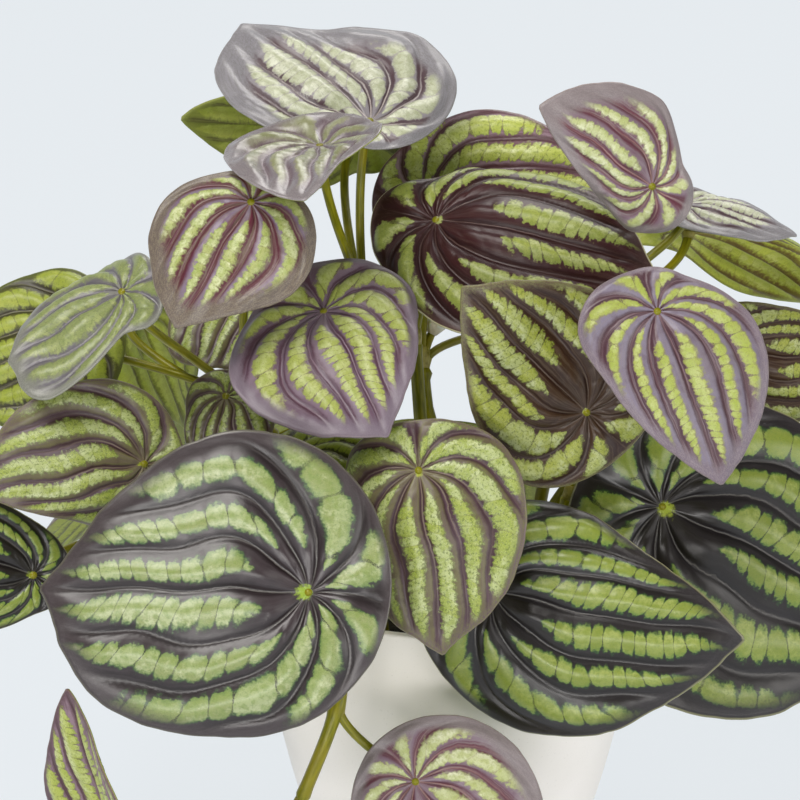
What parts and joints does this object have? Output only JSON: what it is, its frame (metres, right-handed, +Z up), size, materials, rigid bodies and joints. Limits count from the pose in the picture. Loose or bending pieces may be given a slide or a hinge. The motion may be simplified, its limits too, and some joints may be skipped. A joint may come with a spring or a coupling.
{
  "type": "potted peperomia",
  "caption": "Bushy potted peperomia with round striped leaves on branching green stems, standing in a plain tapered off-white pot with dark fill.",
  "frame": {"origin": "middle of the pot's flat underside, on the surface that it stands on", "axes": "+Z up; -Y is the front that the picture shows; +X is to its right"},
  "size_m": [0.338, 0.2591, 0.302],
  "materials": {
    "pot": "plain matte warm off-white",
    "fill": "dark rough crumb like soil",
    "stem": "olive green moulded stems, satin",
    "leaf_dark": "near-black veins with silver-green bands, satin",
    "leaf_mid": "purple-brown veins with yellow-green bands, satin",
    "leaf_mauve": "mauve veins with lime bands and purple-grey margin, satin",
    "leaf_silver": "grey margin and plum veins with pale bands, satin sheen",
    "leaf_maroon": "dark maroon veins with lime bands, satin",
    "leaf_olive": "yellow-olive pale veined leaf, satin"
  },
  "bodies": {
    "root": {"pot": "pot", "fill": "fill", "stem_front_low": "stem", "stem_front": "stem", "stem_left": "stem", "stem_left_high": "stem", "stem_top_left": "stem", "stem_centre": "stem", "stem_top_right": "stem", "stem_right": "stem", "stem_back_left": "stem", "stem_back": "stem", "stem_back_right": "stem", "leaf_front_left": "leaf_dark", "leaf_front_centre": "leaf_mid", "leaf_front_right": "leaf_dark", "leaf_right_large": "leaf_dark", "leaf_right_upper": "leaf_mauve", "leaf_right_inner": "leaf_mid", "leaf_centre_maroon": "leaf_maroon", "leaf_centre_back": "leaf_mauve", "leaf_top_right": "leaf_mauve", "leaf_silver_right": "leaf_silver", "leaf_under_right": "leaf_olive", "leaf_far_right": "leaf_mid", "leaf_top_silver": "leaf_silver", "leaf_small_silver": "leaf_silver", "leaf_under_left": "leaf_olive", "leaf_upper_left": "leaf_mauve", "leaf_left_silver": "leaf_silver", "leaf_left_back": "leaf_olive", "leaf_left_mid": "leaf_mid", "leaf_upper_centre": "leaf_mauve", "leaf_left_deep": "leaf_mid", "leaf_left_under": "leaf_olive", "leaf_left_inner": "leaf_mid", "leaf_low_inner": "leaf_olive", "leaf_bottom_left": "leaf_mauve", "leaf_bottom_centre": "leaf_mauve", "leaf_far_left": "leaf_dark", "leaf_back_low_left": "leaf_dark", "leaf_back_low_middle": "leaf_dark", "leaf_back_low_right": "leaf_mid", "leaf_back_mid_left": "leaf_mid", "leaf_back_mid": "leaf_mauve", "leaf_back_mid_right": "leaf_mid", "leaf_back_right": "leaf_dark", "leaf_back_left": "leaf_mauve", "leaf_back_top": "leaf_silver"}
  },
  "joints": []
}
